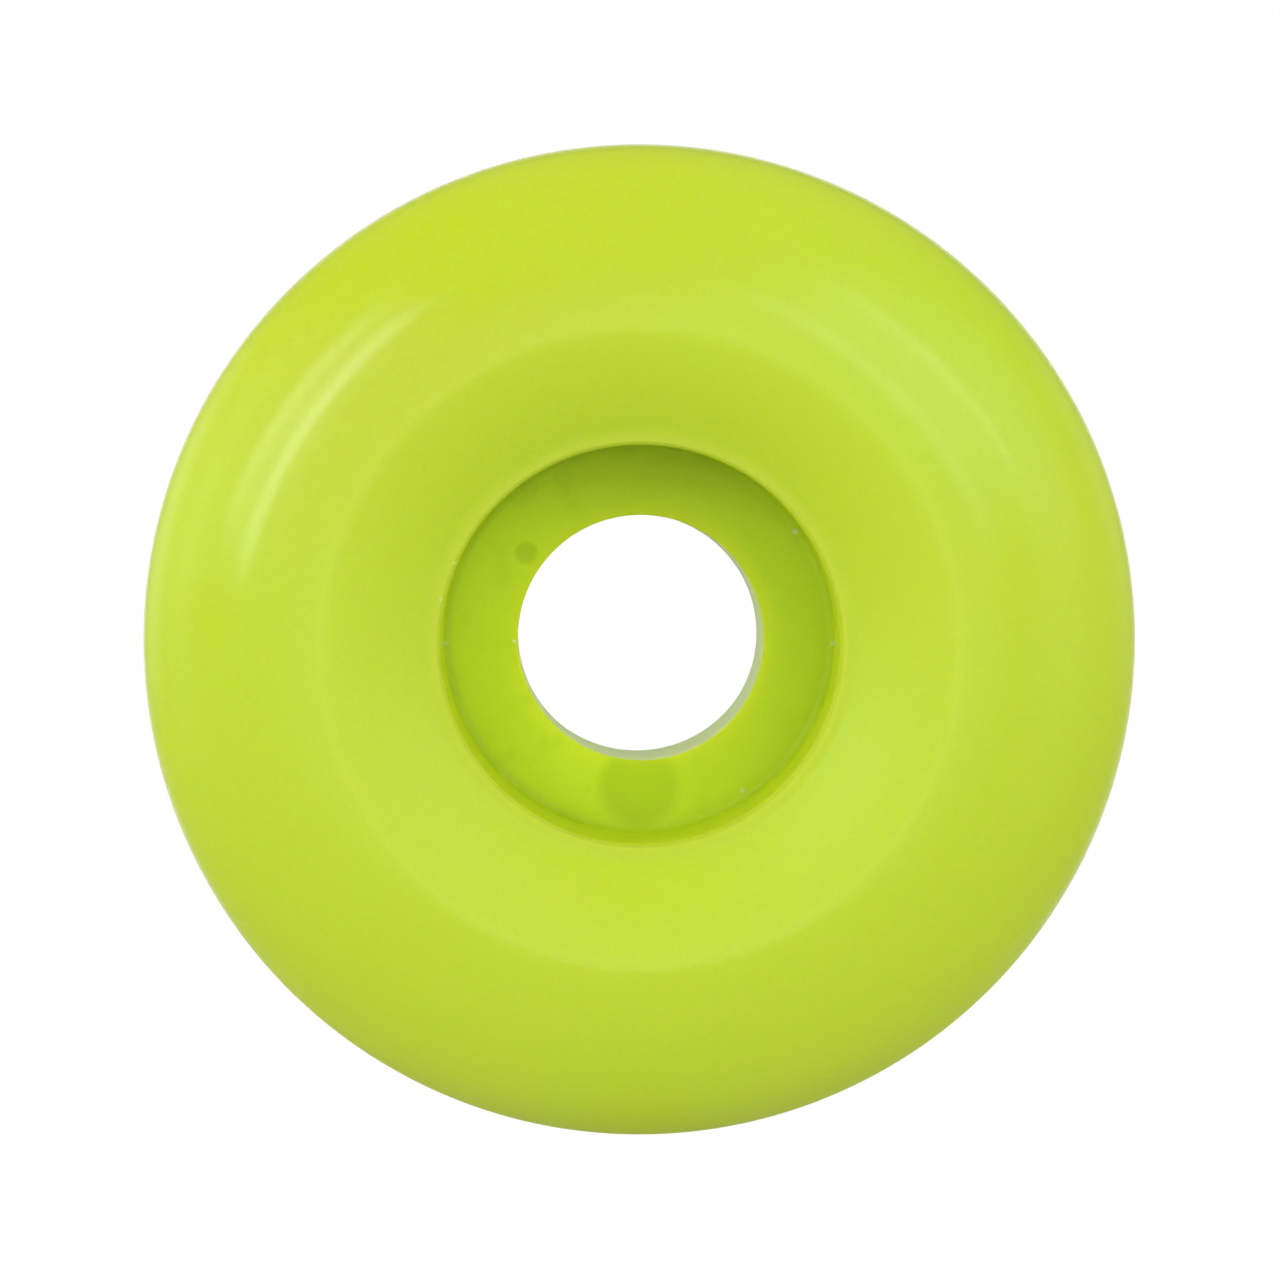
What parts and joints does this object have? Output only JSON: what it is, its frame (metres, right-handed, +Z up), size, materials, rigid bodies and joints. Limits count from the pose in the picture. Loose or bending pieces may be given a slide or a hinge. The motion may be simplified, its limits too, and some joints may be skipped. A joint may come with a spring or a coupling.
{
  "type": "skateboard wheel",
  "caption": "Bare cast urethane skateboard wheel with rounded lips, a dished face around a bearing seat on each side, and an empty through bore.",
  "frame": {"origin": "centre of the wheel, on its axis, midway between the two faces", "axes": "+Y along the wheel's axis, from the front face (at -Y, with the mould marks in its bearing seat) to the back face; +Z up"},
  "size_m": [0.055, 0.0284, 0.055],
  "materials": {
    "urethane": "smooth cast urethane with a soft gloss, lime green"
  },
  "bodies": {
    "root": {"urethane_wheel": "urethane"}
  },
  "joints": []
}
